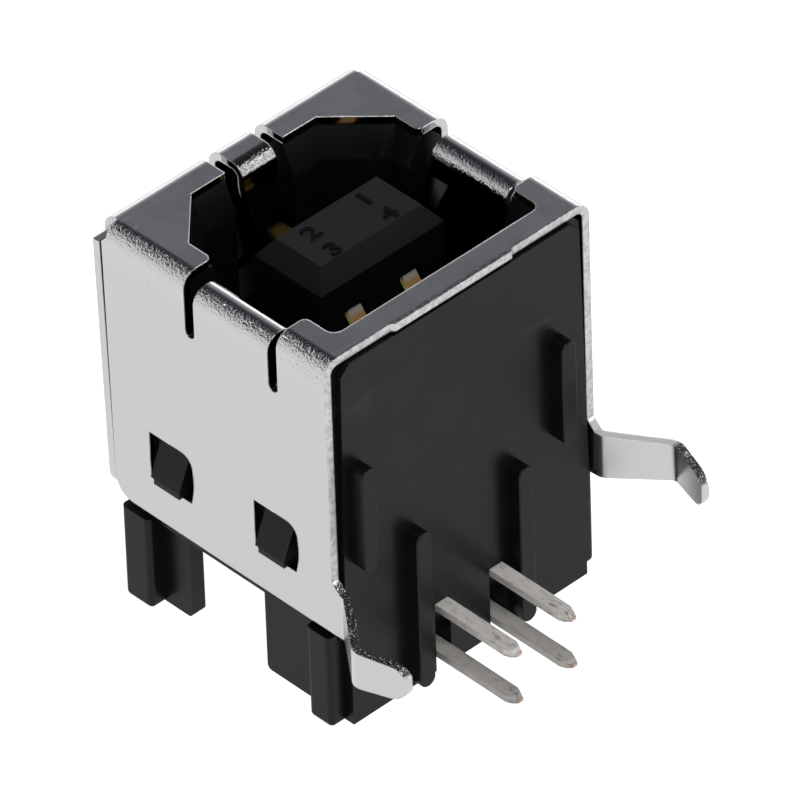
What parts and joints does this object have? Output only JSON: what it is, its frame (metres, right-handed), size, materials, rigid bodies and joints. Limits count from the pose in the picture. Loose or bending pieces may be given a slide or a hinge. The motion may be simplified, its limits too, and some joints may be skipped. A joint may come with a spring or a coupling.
{
  "type": "usb-b socket",
  "caption": "Square two-row socket for a circuit board: folded metal shell with spring fingers and legs, black moulding with a tongue, and stamped contacts with tails.",
  "frame": {"origin": "middle of the overall box in X and Y, in the plane of the moulded feet", "axes": "+Z out of the mouth, against the way a plug goes in; -Y towards the circuit board; +X completes the frame, towards contacts 1 and 4"},
  "size_m": [0.015, 0.0154, 0.0155],
  "materials": {
    "shell_metal": "bright plated sheet, satin faces and glossy bends",
    "black_moulding": "fine matt moulding",
    "contact_metal": "tin plated tails, gilt springs"
  },
  "bodies": {
    "root": {"shield_shell": "shell_metal", "housing": "black_moulding", "contact_1": "contact_metal", "contact_2": "contact_metal", "contact_3": "contact_metal", "contact_4": "contact_metal"}
  },
  "joints": []
}
